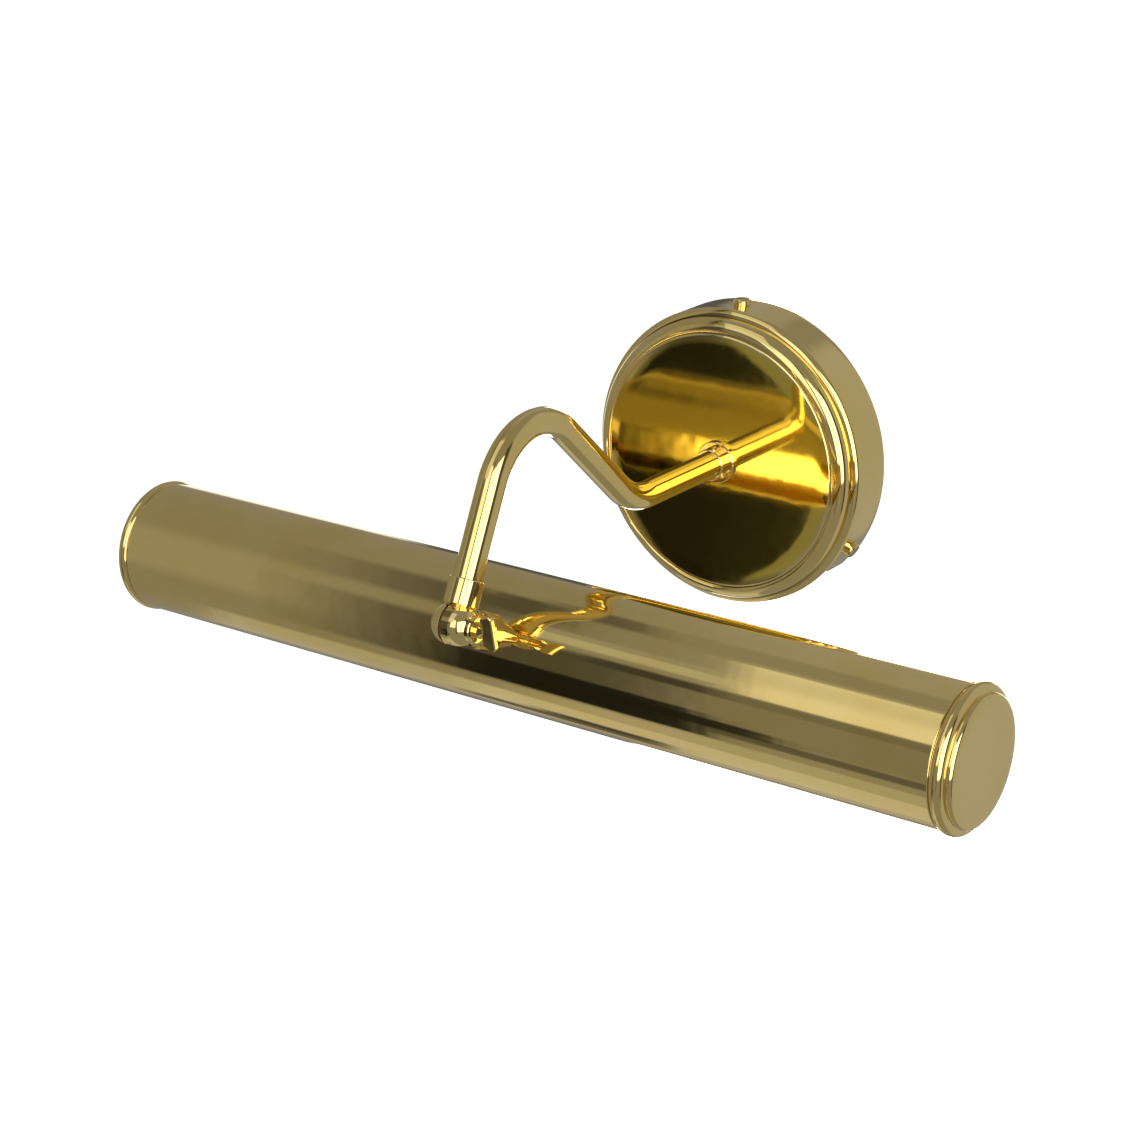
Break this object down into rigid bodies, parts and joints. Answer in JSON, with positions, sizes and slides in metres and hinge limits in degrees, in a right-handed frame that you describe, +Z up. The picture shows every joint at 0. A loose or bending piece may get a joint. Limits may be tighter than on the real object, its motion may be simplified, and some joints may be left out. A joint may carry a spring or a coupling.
{
  "type": "picture light",
  "caption": "Wall-mounted picture light: a round wall cup holds a bent tubular arm, and a swivel knuckle with a wing screw tilts a long slotted tubular shade.",
  "frame": {"origin": "centre of the wall cup's back plane, on the wall", "axes": "+X along the shade to the right as seen from the room, +Y into the wall, +Z up"},
  "size_m": [0.35, 0.1924, 0.118],
  "materials": {
    "polished_brass": "polished and lacquered",
    "plain_brass": "plain turned",
    "zinc_steel": "zinc plated",
    "white_nylon": "moulded",
    "black_phenolic": "moulded",
    "lead_insulation": "extruded",
    "fibre": "pressed fibre",
    "lamp_cap_metal": "rolled thread",
    "lamp_glass": "clear"
  },
  "bodies": {
    "root": {"wall_plate": "zinc_steel", "wall_cup": "polished_brass", "cup_side_screws": "polished_brass", "terminal_block": "white_nylon", "terminal_screws": "zinc_steel", "block_screw": "zinc_steel", "earth_tag": "plain_brass", "earth_screw": "plain_brass", "arm_leads": "lead_insulation", "arm_tube": "polished_brass", "arm_collar": "polished_brass", "collar_set_screws": "polished_brass", "arm_washer": "zinc_steel", "arm_lock_nut": "zinc_steel", "arm_bush": "white_nylon", "knuckle_upper": "polished_brass"},
    "shade": {"knuckle_lower": "polished_brass", "friction_washer": "fibre", "wing_washer": "polished_brass", "shade_saddle": "polished_brass", "shade_nipple": "plain_brass", "shade_washer": "zinc_steel", "shade_lock_nut": "zinc_steel", "shade_tube": "polished_brass", "end_cap_left": "polished_brass", "end_cap_right": "polished_brass", "holder_bracket": "zinc_steel", "holder_nipples": "plain_brass", "holder_nuts": "plain_brass", "lampholder_left": "black_phenolic", "lampholder_right": "black_phenolic", "socket_shells": "plain_brass", "lamp_cap_left": "lamp_cap_metal", "lamp_cap_right": "lamp_cap_metal", "lamp_glass_left": "lamp_glass", "lamp_glass_right": "lamp_glass", "shade_leads": "lead_insulation"},
    "wing_screw": {"wing_screw": "polished_brass"}
  },
  "joints": [
    {"name": "shade_tilt", "type": "hinge", "parent": "root", "child": "shade", "pos_m": [0, -0.1854, -0.0149], "axis": [1, 0, 0], "range_deg": [-100, 8]},
    {"name": "wing_turn", "type": "hinge", "parent": "shade", "child": "wing_screw", "pos_m": [0, -0.1854, -0.0149], "axis": [1, 0, 0], "range_deg": [0, 720]}
  ]
}
